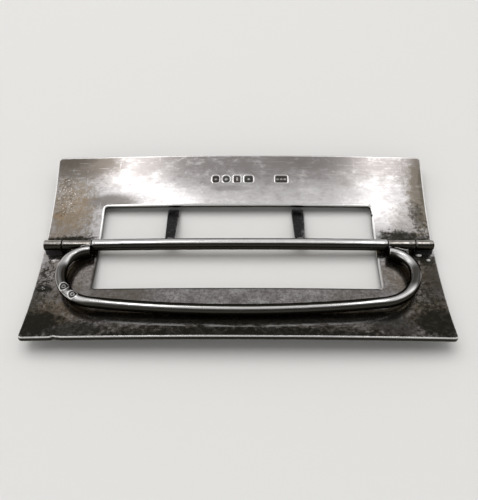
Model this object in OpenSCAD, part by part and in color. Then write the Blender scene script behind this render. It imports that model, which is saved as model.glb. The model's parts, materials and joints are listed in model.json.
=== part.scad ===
// Back of a sheet-silver belt buckle, lying face down: a curved frame plate with a
// hinge bar across its back, a swinging belt loop and a pair of prongs.
// X runs along the buckle, Y away from the belt loop, Z up from the surface it lies on.

/* [Frame plate] */
// Length of the plate
plate_l = 92; // [80:0.5:110]
// Depth of the plate across its back face
plate_d = 51; // [46:0.5:60]
// Thickness of the sheet
sheet_t = 1.2; // [0.8:0.1:1.6]
// How far both long edges stand above the middle of the plate
trough_rise = 4.1; // [3:0.1:5]
// How far the middle of the plate arches above its two ends
arch_rise = 1; // [0.5:0.1:1.2]
// Rounding of the plate's four corners
corner_r = 0.9; // [0.3:0.1:3]

/* [Opening] */
// Length of the opening
opening_l = 65; // [60:0.5:66]
// Width of the opening
opening_w = 23.6; // [22:0.2:26]
// How far the opening sits off the middle of the plate
opening_shift = -0.3; // [-0.6:0.1:0.6]
// Rounding of the opening's corners
opening_corner_r = 0.6; // [0.3:0.1:2]

/* [Hinge bar] */
// Place of the hinge line across the plate
hinge_y = -0.3; // [-0.6:0.1:0.6]
// Height of the hinge line over the surface the buckle lies on
hinge_h = 3.15; // [3:0.05:3.6]
// Length of the whole bar between its outer ends
bar_l = 91.2; // [88:0.1:91.4]
// Outside of the four knuckles
knuckle_d = 2.4; // [2.2:0.1:2.6]
// Length of each outer knuckle
outer_knuckle_l = 4.4; // [3:0.1:6]
// Length of each inner knuckle
inner_knuckle_l = 6.2; // [4:0.1:7]
// Outside of the long middle tube
tube_d = 2.7; // [2.4:0.1:2.8]
// Pin that runs through the whole bar
pin_d = 1.1; // [0.8:0.1:1.2]
// Space round the pin
running_gap = 0.05; // [0.03:0.01:0.08]
// Space between the ends of two knuckles
end_gap = 0.2; // [0.1:0.05:0.4]

/* [Belt loop] */
// Thickness of the loop's round wire
wire_d = 2.5; // [2:0.1:2.7]
// Length of the loop between the middles of its two sides
loop_l = 79.5; // [76:0.5:80]
// Distance from the hinge line to the middle of the long run
loop_reach = 19; // [17:0.25:20]
// Distance from the hinge line to the soldered ends of the wire
loop_end_reach = 2.2; // [2:0.1:2.4]
// Bend beside each soldered end
end_bend_r = 5.7; // [5:0.1:6.3]
// Bow of the long run
run_bow_r = 252; // [200:1:400]
// Space between the resting loop and the plate
rest_gap = 0.08; // [0.05:0.01:0.2]

/* [Prongs] */
// Distance between the two prongs
prong_spacing = 30.5; // [20:0.5:40]
// How far the pair sits off the middle of the bar
prong_shift = -0.7; // [-1.5:0.1:1.5]
// Distance from the hinge line to the tip
prong_reach = 13; // [12.6:0.1:13.5]
// Thickness of each prong
prong_t = 0.9; // [0.7:0.1:1.1]
// Width at the tube
prong_root_w = 2.4; // [2:0.1:3]
// Width near the tip
prong_tip_w = 3.1; // [2.4:0.1:3.6]

/* [Punch marks] */
// Depth of the punched marks
punch_depth = 0.15; // [0.05:0.05:0.25]
// Height of each mark
punch_h = 1.9; // [1.7:0.1:2.2]
// Distance of the row of marks from the middle of the plate
punch_row_y = 19; // [16:0.5:22]

/* [Hidden] */
silver = [0.74, 0.73, 0.70];
dark_silver = [0.52, 0.52, 0.52];
$fn = 96;
fine_fn = 720;
arch_fn = 2880;
over = 1;

// The back face is a saddle: a trough along X whose middle line arches up
half_l = plate_l / 2;
half_d = plate_d / 2;
trough_r = (half_d * half_d + trough_rise * trough_rise) / (2 * trough_rise);
arch_r = (half_l * half_l + arch_rise * arch_rise) / (2 * arch_rise);
trough_a = asin(half_d / trough_r);
arch_a = asin(half_l / arch_r) + 0.5;
back_h = arch_rise + sheet_t;
front_half_d = (trough_r + sheet_t) * sin(trough_a);

knuckle_r = knuckle_d / 2;
tube_r = tube_d / 2;
bore_r = pin_d / 2 + running_gap;
half_bar = bar_l / 2;
inner_start = half_bar - outer_knuckle_l - end_gap - inner_knuckle_l;
half_tube = inner_start - end_gap;
seat_w = 1.7;
pin_head_r = 0.8;
pin_head_t = 0.25;

wire_r = wire_d / 2;
half_loop = loop_l / 2;
end_bend_x = half_loop - end_bend_r;
end_bend_start = acos((inner_start - end_bend_x) / end_bend_r);
side_y = -loop_end_reach - end_bend_r;
run_bow_y = run_bow_r - loop_reach;
// The bend that joins each side to the bowed run with no kink at either end
run_bend_r = (run_bow_r * run_bow_r - half_loop * half_loop - pow(run_bow_y - side_y, 2))
    / (2 * (run_bow_r - half_loop));
run_bend_x = half_loop - run_bend_r;
run_turn = acos(run_bend_x / (run_bow_r - run_bend_r));
wire_fn = 48;
lap_l = 0.2;
thin_wire_r = wire_r - 0.02;
web_t = 1.3;
web_l = 2.6;

// Each punch mark: place along the plate, width, corner and motif
PLACE = 0;
WIDTH = 1;
CORNER = 2;
MOTIF = 3;
PUNCHES = [[-5.7, 1.7, 0.5, "bead"], [-3.1, 1.8, 0.8, "diamond"], [-0.4, 1.7, 0.3, "bar"],
           [2.5, 2.2, 0.5, "bead"], [10.6, 3, 0.3, "beads"]];
motif_w = 0.75;
bead_r = 0.32;
bead_pitch = 0.9;
loop_punch_r = 0.7;

prong_tip_r = 1.1;
prong_chamfer = 0.25;
prong_floor_gap = 0.03;
prong_drop = asin((hinge_h - prong_floor_gap - prong_t / 2) / prong_reach);
prong_edge_a = atan((prong_tip_w - prong_root_w) / 2 / prong_reach);
foot_l = 2.2;
foot_t = 1.5;

// Height of the back face over the surface that the buckle lies on
function back_z(x, y) =
    back_h + trough_r - sqrt(trough_r * trough_r - y * y)
    - arch_r + sqrt(arch_r * arch_r - x * x);

// Slope at which the long run, swung about the hinge line, comes to rest on the trough.
// side is -1 for the near half of the plate, and 1 for the far half when it is swung over.
function loop_seat_angle(side) =
    let (across = side * hinge_y,
         down = hinge_h - back_h - trough_r,
         clear_r = trough_r - wire_r - rest_gap,
         cos_part = 2 * across * loop_reach,
         sin_part = 2 * down * loop_reach,
         rest = clear_r * clear_r - across * across - down * down - loop_reach * loop_reach)
    atan2(sin_part, cos_part) + acos(rest / norm([cos_part, sin_part]));

loop_rest = loop_seat_angle(-1);

module rounded_rectangle(length, depth, corner) {
    square([length - 2 * corner, depth], center = true);
    square([length, depth - 2 * corner], center = true);
    for (x = [-1, 1], y = [-1, 1])
        translate([x * (length / 2 - corner), y * (depth / 2 - corner)])
            circle(corner);
}

// Upright block with round corners that reaches past both faces of the plate
module through_block(length, depth, corner) {
    translate([0, 0, -over])
        linear_extrude(trough_rise + back_h + 4 * over)
            rounded_rectangle(length, depth, corner);
}

// Section of the trough, from the middle of its arch out to the sheet
module trough_section() {
    wedge = trough_r + sheet_t + over;
    translate([arch_r + trough_r, 0])
        intersection() {
            difference() {
                circle(trough_r + sheet_t, $fn = fine_fn);
                circle(trough_r, $fn = fine_fn);
            }
            polygon([[0, 0],
                     [-wedge, -wedge * tan(trough_a)],
                     [-wedge, wedge * tan(trough_a)]]);
        }
}

// Curved sheet before its outline and opening are cut
module saddle_sheet() {
    translate([0, 0, back_h - arch_r])
        rotate([90, 0, 0])
            rotate([0, 0, 90 - arch_a])
                rotate_extrude(angle = 2 * arch_a, $fn = arch_fn)
                    trough_section();
}

// Children are drawn on the back face, with Z standing off the sheet
module on_back(x, y) {
    translate([x, y, back_z(x, y)])
        rotate([asin(y / trough_r), 0, 0])
            rotate([0, asin(x / arch_r), 0])
                children();
}

// Plain bead, bar or diamond left standing in the middle of a punch mark
module punch_motif(kind) {
    if (kind == "bead") circle(bead_r);
    if (kind == "bar") square([motif_w / 2, 1.5 * motif_w], center = true);
    if (kind == "diamond") rotate(45) square(motif_w, center = true);
    if (kind == "beads")
        for (step = [-1, 0, 1]) translate([step * bead_pitch, 0]) circle(bead_r);
}

module punch_mark(width, corner, kind) {
    translate([0, 0, -punch_depth])
        linear_extrude(2 * punch_depth)
            difference() {
                rounded_rectangle(width, punch_h, corner);
                punch_motif(kind);
            }
}

module punch_row() {
    for (mark = PUNCHES)
        on_back(mark[PLACE], punch_row_y) punch_mark(mark[WIDTH], mark[CORNER], mark[MOTIF]);
}

// Cylinder lying along X about the hinge line
module along_bar(x, length, radius) {
    translate([x, hinge_y, hinge_h])
        rotate([0, 90, 0])
            cylinder(r = radius, h = length);
}

module outer_knuckle(side) {
    start = side > 0 ? half_bar - outer_knuckle_l : -half_bar;
    along_bar(start, outer_knuckle_l, knuckle_r);
    translate([start, hinge_y - seat_w / 2, back_z(half_bar, 0) - sheet_t / 4])
        cube([outer_knuckle_l, seat_w, hinge_h - back_z(half_bar, 0) + sheet_t / 4]);
}

module frame_plate() {
    color(silver)
        difference() {
            union() {
                intersection() {
                    saddle_sheet();
                    through_block(plate_l, 2 * front_half_d, corner_r);
                }
                for (side = [-1, 1]) outer_knuckle(side);
            }
            translate([opening_shift, 0, 0])
                through_block(opening_l, opening_w, opening_corner_r);
            along_bar(-half_l - over, plate_l + 2 * over, bore_r);
            punch_row();
        }
}

module hinge_pin() {
    color(dark_silver)
        union() {
            along_bar(-half_bar - pin_head_t, bar_l + 2 * pin_head_t, pin_d / 2);
            for (x = [-half_bar - pin_head_t, half_bar])
                along_bar(x, pin_head_t, pin_head_r);
        }
}

// Bend of round wire in the plane of the loop, from one angle to another about its centre
module wire_bend(centre, bend_r, from, to, radius) {
    translate(centre)
        rotate([0, 0, from])
            rotate_extrude(angle = to - from, $fn = bend_r > half_loop ? arch_fn : $fn)
                translate([bend_r, 0]) circle(radius, $fn = wire_fn);
}

// The wire's two end bends and its bowed run, each let a little way into the run bends
module loop_wire() {
    end_lap = lap_l / end_bend_r * 180 / PI;
    bow_lap = lap_l / run_bow_r * 180 / PI;
    for (flip = [0, 1])
        mirror([flip, 0, 0]) {
            wire_bend([end_bend_x, side_y, 0], end_bend_r, -end_lap, end_bend_start, thin_wire_r);
            wire_bend([run_bend_x, side_y, 0], run_bend_r, -run_turn, 0, wire_r);
        }
    wire_bend([0, run_bow_y, 0], run_bow_r,
              run_turn - 180 - bow_lap, bow_lap - run_turn, thin_wire_r);
}

// Two plain round punch marks on the left bend of the loop
module loop_punches() {
    for (a = [22, 48])
        translate([-run_bend_x - run_bend_r * cos(a), side_y - run_bend_r * sin(a),
                   wire_r - punch_depth])
            cylinder(r = loop_punch_r, h = over);
}

module belt_loop() {
    color(silver)
        difference() {
            union() {
                translate([0, hinge_y, hinge_h])
                    rotate([-loop_rest, 0, 0]) {
                        difference() {
                            loop_wire();
                            loop_punches();
                        }
                        for (x = [inner_start, -inner_start - web_l])
                            translate([x, -loop_end_reach, -web_t / 2])
                                cube([web_l, loop_end_reach, web_t]);
                    }
                for (x = [inner_start, -inner_start - inner_knuckle_l])
                    along_bar(x, inner_knuckle_l, knuckle_r);
            }
            along_bar(-half_l, plate_l, bore_r);
        }
}

// Prong lying along Y from the hinge line, with its long top edges taken off
module prong() {
    tip_y = prong_reach - prong_tip_r;
    half_root = prong_root_w / 2;
    half_tip = prong_tip_w / 2;
    difference() {
        translate([0, 0, -prong_t / 2])
            linear_extrude(prong_t)
                union() {
                    polygon([[-half_root, 0], [half_root, 0],
                             [half_tip, tip_y], [-half_tip, tip_y]]);
                    for (side = [-1, 1])
                        translate([side * (half_tip - prong_tip_r), tip_y]) circle(prong_tip_r);
                    translate([0, tip_y + prong_tip_r / 2])
                        square([prong_tip_w - 2 * prong_tip_r, prong_tip_r], center = true);
                }
        for (side = [-1, 1])
            translate([side * half_root, 0, prong_t / 2])
                rotate([0, 0, -side * prong_edge_a])
                    rotate([0, 45, 0])
                        translate([-prong_chamfer, -over, -prong_chamfer])
                            cube([2 * prong_chamfer, prong_reach + 2 * over, 2 * prong_chamfer]);
    }
}

module prong_bar() {
    color(silver)
        difference() {
            union() {
                along_bar(-half_tube, 2 * half_tube, tube_r);
                for (side = [-1, 1])
                    translate([prong_shift + side * prong_spacing / 2, hinge_y, hinge_h])
                        rotate([-prong_drop, 0, 0]) {
                            prong();
                            translate([-prong_root_w / 2, 0, -foot_t / 2])
                                cube([prong_root_w, foot_l, foot_t]);
                        }
            }
            along_bar(-half_l, plate_l, bore_r);
        }
}

frame_plate();
hinge_pin();
belt_loop();
prong_bar();
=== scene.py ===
"""Back of an old silver belt buckle: its pieces, finishes and studio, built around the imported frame.

Every piece is a function that shapes a bmesh in metres, in the frame's own axes: X along the buckle,
Y away from the belt loop, Z up from the surface that the buckle lies on.
"""

import json
import math
from collections import namedtuple

import bmesh
import bpy
from mathutils import Matrix, Vector, noise


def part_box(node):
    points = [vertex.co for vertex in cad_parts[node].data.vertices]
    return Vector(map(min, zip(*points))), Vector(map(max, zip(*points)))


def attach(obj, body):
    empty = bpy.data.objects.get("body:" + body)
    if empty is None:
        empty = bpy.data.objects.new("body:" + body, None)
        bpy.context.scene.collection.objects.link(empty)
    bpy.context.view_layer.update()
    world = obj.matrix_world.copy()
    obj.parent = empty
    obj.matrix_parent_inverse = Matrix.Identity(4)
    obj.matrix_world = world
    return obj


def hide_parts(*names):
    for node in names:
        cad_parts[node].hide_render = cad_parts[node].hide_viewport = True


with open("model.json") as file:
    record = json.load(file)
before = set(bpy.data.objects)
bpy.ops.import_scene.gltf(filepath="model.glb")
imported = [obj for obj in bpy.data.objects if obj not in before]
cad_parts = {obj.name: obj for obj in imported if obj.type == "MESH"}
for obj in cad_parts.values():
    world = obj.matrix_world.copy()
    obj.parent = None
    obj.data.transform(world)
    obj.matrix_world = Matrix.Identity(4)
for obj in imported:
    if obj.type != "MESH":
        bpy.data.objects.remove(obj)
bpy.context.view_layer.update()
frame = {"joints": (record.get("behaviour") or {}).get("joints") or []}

bl_info = {
    "name": "Silver belt buckle",
    "version": (1, 0, 0),
    "blender": (4, 5, 0),
    "location": "3D View > Sidebar > Buckle",
    "description": "Builds the back of a curved silver belt buckle with its hinge bar, belt loop and prongs",
    "category": "Add Mesh",
}

MM = 0.001
WELD = 1e-7
PLATE_LOW, PLATE_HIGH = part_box("frame_plate")
HINGE = Vector(frame["joints"][0]["pos_m"])
ALONG = Vector((1, 0, 0))
ACROSS = Vector((0, 1, 0))

# Edges whose faces turn by more than this, in radians, are sharp. Beside a bevel less is enough
SHARP, SHARP_BY_BEVEL = 1, 0.8
WORN_EDGE = 0.16 * MM

# Burrs and a thinned end of the knuckles, and where the right inner knuckle's burr is
BURR_HEIGHT, BURR_REACH = 0.09 * MM, 0.45 * MM
THINNED_BY, THINNED_REACH = 0.16 * MM, 0.9 * MM
INNER_BURR = 40.5 * MM

# The pin's hammered end: how far past the bar's end, and radius
PIN_END = ((0.02 * MM, 0.72 * MM), (0.08 * MM, 0.7 * MM), (0.14 * MM, 0.45 * MM),
           (0.16 * MM, 0.2 * MM), (0.16 * MM, 0.02 * MM))

# How far from an edge the plate's burnished band, which also paints the edges' bright highlight lines, or
# its painted shade band begins to fade, and where it ends
FAR_SHINE, NEAR_SHINE = (0.22 * MM, 0.62 * MM), (0.05 * MM, 0.38 * MM)
RIGHT_SHINE, NEAR_SHADE = (0.2 * MM, 0.55 * MM), (0.2 * MM, 0.6 * MM)

# The loop's punch marks, in degrees round its left bend, and how finely its arcs are cut
LOOP_PUNCH_ANGLES = (37, 57)
END_STEPS, BEND_STEPS, RUN_STEPS = 16, 26, 90

# Plain blank punches on the far rim: place along it, width, corner and the motif left standing
Punch = namedtuple("Punch", "place width corner motif")
PUNCHES = (
    Punch(-5.7 * MM, 1.7 * MM, 0.5 * MM, "bead"),
    Punch(-3.1 * MM, 1.8 * MM, 0.8 * MM, "diamond"),
    Punch(-0.4 * MM, 1.7 * MM, 0.3 * MM, "bar"),
    Punch(2.5 * MM, 2.2 * MM, 0.5 * MM, "bead"),
    Punch(10.6 * MM, 3.0 * MM, 0.3 * MM, "beads"),
)

# Knocks in the plate's edges: middle on the flat sheet, which way the metal went, and how wide
Knock = namedtuple("Knock", "middle push reach")

# Drops of solder and a worn mound on the plate: place and half widths
Drop = namedtuple("Drop", "place reach")
DROPS = (
    Drop((42.1 * MM, -1.98 * MM), (0.75 * MM, 0.4 * MM, 0.32 * MM)),
    Drop((44.1 * MM, -3.34 * MM), (0.55 * MM, 0.42 * MM, 0.3 * MM)),
)
MOUNDS = (Drop((-42.9 * MM, -3.2 * MM), (1.1 * MM, 0.6 * MM, 0.09 * MM)),)

# Patches in the finish: middle and half widths in millimetres on the plate, and how strong they are
Patch = namedtuple("Patch", "middle reach strength")


def length(name, description, millimetres):
    """A length that a user may change."""
    return bpy.props.FloatProperty(
        name=name, description=description, default=millimetres * MM, unit="LENGTH", precision=5)


def tint(name, description, colour):
    """A colour that a user may change."""
    return bpy.props.FloatVectorProperty(
        name=name, description=description, default=colour, subtype="COLOR", size=3, min=0, max=1)


def turn(name, description, degrees):
    """An angle that a user may change."""
    return bpy.props.FloatProperty(
        name=name, description=description, default=math.radians(degrees), subtype="ANGLE")


class BucklePlateSizes(bpy.types.PropertyGroup):
    """Sizes of the curved plate, its opening and its punch marks."""

    length: length("Length", "Length of the plate", (PLATE_HIGH.x - PLATE_LOW.x) / MM)
    depth: length("Depth", "Depth of the plate across its back face", 51)
    thickness: length("Thickness", "Thickness of the sheet", 1.2)
    trough: length("Trough", "How far the long edges stand above the middle", 4.1)
    arch: length("Arch", "How far the middle stands above the two ends", 1)
    corner: length("Corner", "Rounding of the outer corners", 0.9)
    opening_length: length("Opening length", "Length of the opening", 65)
    opening_width: length("Opening width", "Width of the opening", 23.6)
    opening_shift: length("Opening shift", "How far the opening sits off the middle", -0.3)
    opening_corner: length("Opening corner", "Rounding of the opening's corners", 0.6)
    back_edge: length("Back edge", "Wear of the edges of the back face", 0.42)
    front_edge: length("Front edge", "Rounding of the edges of the front face", 0.3)
    grain: length("Mesh grain", "Width of the plate's mesh cells", 0.5)
    unevenness: length("Unevenness", "Height of the waves left by the hammer", 0.03)
    punch_depth: length("Punch depth", "Depth of the punch marks", 0.15)
    punch_height: length("Punch height", "Height of the punch marks", 1.9)
    punch_row: length("Punch row", "Distance of the punch marks from the middle", 19)


class BuckleBarSizes(bpy.types.PropertyGroup):
    """Sizes of the hinge bar's knuckles, tube and pin."""

    bar: length("Bar length", "Length of the whole bar", 90.7)
    knuckle: length("Knuckle", "Outside of the four knuckles", 2.4)
    outer_knuckle: length("Outer knuckle", "Length of each outer knuckle", 4.15)
    inner_knuckle: length("Inner knuckle", "Length of the right inner knuckle", 6.2)
    left_extra: length("Left extra", "How much longer the left inner knuckle is", 0.6)
    tube: length("Tube", "Outside of the long tube", 2.7)
    bore: length("Bore", "Inside of the knuckles and the tube", 1.2)
    pin: length("Pin", "Thickness of the pin", 1.1)
    gap: length("Gap", "Space between two knuckles", 0.2)
    bow: length("Bow", "How far the middle of the tube stands up", 0.5)
    seat: length("Seat", "Width of the solder under an outer knuckle", 1.7)


class BuckleLoopSizes(bpy.types.PropertyGroup):
    """Sizes of the belt loop's wire."""

    wire: length("Wire", "Thickness of the wire", 2.5)
    length: length("Length", "Distance between the middles of the two sides", 79.5)
    reach: length("Reach", "Distance from the hinge line to the long run", 19)
    end_reach: length("End reach", "Distance from the hinge line to the wire's ends", 2.2)
    end_bend: length("End bend", "Bend beside each end", 5.7)
    bow: length("Bow", "Radius of the long run's bow", 252)
    left_rise: length("Left rise", "How much nearer the left end lies to the hinge line", 0.5)
    rest_gap: length("Rest gap", "Space between the resting loop and the plate", 0.08)
    punch: length("Punch", "Radius of the two punch marks", 0.92)
    punch_depth: length("Punch depth", "Depth of the two punch marks", 0.2)


class BuckleProngSizes(bpy.types.PropertyGroup):
    """Sizes and places of the two prongs."""

    spacing: length("Spacing", "Distance between the two prongs", 30.5)
    shift: length("Shift", "How far the pair sits off the middle", -0.7)
    reach: length("Reach", "Distance from the hinge line to the tip", 13)
    thickness: length("Thickness", "Thickness of a prong", 0.9)
    root: length("Root width", "Width at the tube", 2.4)
    tip: length("Tip width", "Width near the tip", 3.1)
    tip_corner: length("Tip corner", "Rounding of the tip", 1.1)
    floor_gap: length("Floor gap", "Space between the tip and the surface below", 0.03)


class BuckleFinish(bpy.types.PropertyGroup):
    """Colours of the metal and of what time has left on it."""

    silver: tint("Silver", "Clean, burnished silver", (0.94, 0.925, 0.91))
    worn: tint("Worn silver", "Silver dulled by fine wear", (0.61, 0.587, 0.587))
    # Also the colour of the painted reflection of the loop's wire in the plate
    rub_and_reflection: tint("Rubbed silver", "Silver that a belt keeps bright", (0.80, 0.78, 0.77))
    dulled: tint("Dulled silver", "Silver of the knuckles, seldom rubbed", (0.50, 0.47, 0.44))
    haze: tint("Haze", "Silver under a thin grey film", (0.355, 0.328, 0.318))
    veil: tint("Veil", "Smooth grey film of early tarnish", (0.125, 0.108, 0.098))
    tarnish: tint("Tarnish", "Warm first tarnish", (0.20, 0.172, 0.135))
    # Dark tarnish, also the colour of painted shade on the bars, the loop, the plate's walls and near rim
    # and the knuckle seats
    dark_tarnish_and_shade: tint("Dark tarnish", "Old dark tarnish", (0.026, 0.024, 0.017))
    stain: tint("Stain", "Brown stain", (0.34, 0.22, 0.10))
    golden: tint("Golden tarnish", "Thin golden tarnish out of reach of rubbing", (0.38, 0.35, 0.26))
    # Dark enough to paint the shade the prongs lie in under the plate's far rim
    prong: tint("Prong", "Greyed silver of the prongs", (0.055, 0.055, 0.058))


class BuckleStudio(bpy.types.PropertyGroup):
    """Camera, floor and lights."""

    lens: bpy.props.FloatProperty(
        name="Lens", description="Focal length", default=46.93, unit="CAMERA")
    distance: length("Distance", "Distance of the camera from the buckle", 148.2)
    elevation: turn("Elevation", "Height of the camera above the surface", 54.969)
    heading: turn("Heading", "Turn of the camera about the upright", 1.442)
    roll: turn("Roll", "Turn of the camera about its own line", -1.192)
    aim_right: length("Aim right", "How far the view's middle lies left of the origin", -0.174)
    aim_up: length("Aim up", "How far the view's middle lies below the origin", -0.416)
    floor: tint("Floor", "Colour of the floor", (0.74, 0.73, 0.71))
    backdrop: tint("Backdrop", "Plain colour behind the floor", (0.54, 0.532, 0.517))
    dome: bpy.props.FloatProperty(
        name="Dome", description="Brightness of the light all round", default=1.0)
    side_glow: bpy.props.FloatProperty(
        name="Side glow", description="Brightness of the glow at both sides", default=0.3)


# Shaping helpers

def sizes(name):
    """One of the scene's groups of sizes."""
    return getattr(bpy.context.scene, "buckle_" + name)


def ease(value, start, end):
    """0 before start, 1 after end, and smooth between them."""
    share = min(1.0, max(0.0, (value - start) / (end - start)))
    return share * share * (3 - 2 * share)


def outside_by(x, y, half_x, half_y, corner):
    """How far a point lies outside a rectangle with round corners. It is negative inside."""
    dx, dy = abs(x) - half_x + corner, abs(y) - half_y + corner
    return math.hypot(max(dx, 0), max(dy, 0)) + min(max(dx, dy), 0) - corner


def steps(low, high, width):
    """Places between two ends, about a width apart, without the ends."""
    count = max(1, round((high - low) / width))
    return [low + (high - low) * i / count for i in range(1, count)]


def everything(bm):
    return bm.verts[:] + bm.edges[:] + bm.faces[:]


def verts_of(geometry):
    return [g for g in geometry if isinstance(g, bmesh.types.BMVert)]


def edges_of(geometry):
    return [g for g in geometry if isinstance(g, bmesh.types.BMEdge)]


def new_masks(bm, *names):
    """Layers that hold a number from 0 to 1 at each point, for the finish."""
    return [bm.verts.layers.float.new(name) for name in names]


def bell(value, middle, width):
    """1 at the middle, falling to 0 on both sides."""
    return math.exp(-((value - middle) / width) ** 2)


def slice_up(bm, geometry, normal, places):
    """Cuts the geometry along planes that stand across a direction, and returns it with the cuts."""
    for place in places:
        geometry = bmesh.ops.bisect_plane(
            bm, geom=geometry, plane_co=normal * place, plane_no=normal, dist=WELD)["geom"]
    return geometry


def around(faces):
    """The faces with their edges and corners, each once and in the same order each time."""
    return [*dict.fromkeys(v for f in faces for v in f.verts),
            *dict.fromkeys(e for f in faces for e in f.edges), *faces]


def sharp_edges(bm, angle, keep=lambda edge: True):
    """Edges whose two faces turn by more than an angle."""
    return [e for e in bm.edges
            if e.is_manifold and e.calc_face_angle(0) > angle and keep(e)]


def round_off(bm, edges, width, segments=3):
    bmesh.ops.bevel(bm, geom=edges, offset=width, offset_type="OFFSET", segments=segments,
                    profile=0.5, affect="EDGES", clamp_overlap=True, material=-1)


def finish_piece(bm, name, metal, body):
    """Turns a shaped bmesh into a smooth piece that rides on a body, and notes which way it faces."""
    bmesh.ops.remove_doubles(bm, verts=bm.verts, dist=WELD)
    bmesh.ops.recalc_face_normals(bm, faces=bm.faces)
    facing = bm.verts.layers.float_vector.new("facing")
    bm.normal_update()
    for v in bm.verts:
        v[facing] = v.normal
    mesh = bpy.data.meshes.new(name)
    bm.to_mesh(mesh)
    bm.free()
    mesh.shade_smooth()
    mesh.materials.append(bpy.data.materials[metal])
    piece = bpy.data.objects.new(name, mesh)
    bpy.context.scene.collection.objects.link(piece)
    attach(piece, body)
    return piece


# Plate

def bend_radii(plate):
    """Radii of the trough and of the arch of the plate's back face."""
    half_d, half_l = plate.depth / 2, plate.length / 2
    trough = (half_d ** 2 + plate.trough ** 2) / (2 * plate.trough)
    arch = (half_l ** 2 + plate.arch ** 2) / (2 * plate.arch)
    return trough, arch


def on_saddle(plate, x, across, height):
    """Place on the curved plate of a point of the flat sheet, with its height over the back face."""
    trough, arch = bend_radii(plate)
    angle = across / trough
    rise = trough - (trough - height) * math.cos(angle)
    crown = plate.arch + plate.thickness - arch
    return Vector((x, (trough - height) * math.sin(angle),
                   crown + math.sqrt((arch + rise) ** 2 - x * x)))


def flat_place(plate, y):
    """Distance along the flat sheet of a point of the back face."""
    trough, _ = bend_radii(plate)
    return trough * math.asin(y / trough)


def back_height(plate, x, y):
    """Height of the plate's back face."""
    return on_saddle(plate, x, flat_place(plate, y), 0).z


def opening_sides(plate):
    """Places along the plate of the opening's left and right edge."""
    return [plate.opening_shift + side * plate.opening_length / 2 for side in (-1, 1)]


def motif_at(motif, u, v):
    """How much of a punch's bead, bar or diamond stands at a point, from 0 to 1."""
    bead, pitch, diamond, soft = 0.32 * MM, 0.9 * MM, 0.53 * MM, 0.08 * MM
    half_width, half_height, corner = 0.2 * MM, 0.56 * MM, 0.05 * MM
    if motif == "bead":
        outside = math.hypot(u, v) - bead
    elif motif == "diamond":
        outside = (abs(u) + abs(v) - diamond) * math.sqrt(0.5)
    elif motif == "bar":
        outside = outside_by(u, v, half_width, half_height, corner)
    else:
        outside = math.hypot(u - pitch * max(-1, min(1, round(u / pitch))), v) - bead
    return 1 - ease(outside, -soft, soft)


def punch_at(plate, mark, x, across):
    """Depth share of a punch mark at a point of the flat sheet, and the height of its raised lip."""
    u, v = x - mark.place, across - flat_place(plate, plate.punch_row)
    outside = outside_by(u, v, mark.width / 2, plate.punch_height / 2, mark.corner)
    floor, brim, motif_share = -0.12 * MM, 0.02 * MM, 0.85
    lip_away, lip_width = 0.1 * MM, 0.12 * MM
    sunk = (1 - ease(outside, floor, brim)) * (1 - motif_share * motif_at(mark.motif, u, v))
    lip = bell(outside, lip_away, lip_width) if outside > 0 else 0
    return sunk, lip


def edge_knocks(plate):
    """Knocks in the near edge and in the opening's right edge."""
    near = -flat_place(plate, plate.depth / 2)
    _, right = opening_sides(plate)
    return (
        Knock(Vector((-38.4 * MM, near)), Vector((0, 0.34 * MM)), 0.55 * MM),
        Knock(Vector((-37.4 * MM, near)), Vector((0, 0.14 * MM)), 0.5 * MM),
        Knock(Vector((right, 9.3 * MM)), Vector((0.4 * MM, 0.05 * MM)), 0.32 * MM),
        Knock(Vector((right, 10.2 * MM)), Vector((0.12 * MM, 0)), 0.4 * MM),
    )


def flat_sheet(plate):
    """Flat sheet with its opening, its back face at height 0, cut into a fine mesh."""
    half_l, half_d = plate.length / 2, flat_place(plate, plate.depth / 2)
    hole_y = flat_place(plate, plate.opening_width / 2)
    lines_x = [-half_l, *opening_sides(plate), half_l]
    lines_y = [-half_d, -hole_y, hole_y, half_d]
    bm = bmesh.new()
    bmesh.ops.create_grid(bm, x_segments=3, y_segments=3, size=1)
    for v in bm.verts:
        v.co = (lines_x[round((v.co.x + 1) * 1.5)], lines_y[round((v.co.y + 1) * 1.5)], 0)
    middle = min(bm.faces, key=lambda f: f.calc_center_median().length)
    bmesh.ops.delete(bm, geom=[middle], context="FACES")
    walls = bmesh.ops.extrude_face_region(bm, geom=bm.faces[:])
    bmesh.ops.translate(bm, vec=(0, 0, -plate.thickness), verts=verts_of(walls["geom"]))
    bmesh.ops.recalc_face_normals(bm, faces=bm.faces)

    def upright(edge):
        return abs(edge.verts[0].co.z - edge.verts[1].co.z) > plate.thickness / 2

    outer = sharp_edges(bm, SHARP, lambda e: upright(e) and abs(e.verts[0].co.x) > half_l - WELD)
    round_off(bm, outer, plate.corner, segments=5)
    inner = sharp_edges(bm, SHARP, lambda e: upright(e) and abs(e.verts[0].co.y) < hole_y + WELD)
    round_off(bm, inner, plate.opening_corner, segments=4)
    back = sharp_edges(bm, SHARP, lambda e: all(v.co.z > -WELD for v in e.verts))
    round_off(bm, back, plate.back_edge, segments=4)
    front = sharp_edges(bm, SHARP, lambda e: all(v.co.z < WELD - plate.thickness for v in e.verts))
    round_off(bm, front, plate.front_edge, segments=3)
    whole = slice_up(bm, everything(bm), ALONG, steps(-half_l, half_l, plate.grain))
    slice_up(bm, whole, ACROSS, steps(-half_d, half_d, plate.grain))
    return bm


def refine(bm, low, high, width, only_back=False):
    """Cuts the part of the sheet between two corners into finer cells."""
    def inside(face):
        middle = face.calc_center_median()
        return (low[0] < middle.x < high[0] and low[1] < middle.y < high[1]
                and (middle.z > -WELD or not only_back))

    part = slice_up(bm, around([f for f in bm.faces if inside(f)]), ALONG,
                    steps(low[0], high[0], width))
    slice_up(bm, part, ACROSS, steps(low[1], high[1], width))


def hammer_waves(x, y):
    """Gentle unevenness of hand-worked sheet, from -1 to 1."""
    broad = noise.noise(Vector((x, y, 0)) / (17 * MM))
    close = noise.noise(Vector((x, y, 9 * MM)) / (6 * MM))
    return broad + 0.22 * close


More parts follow.
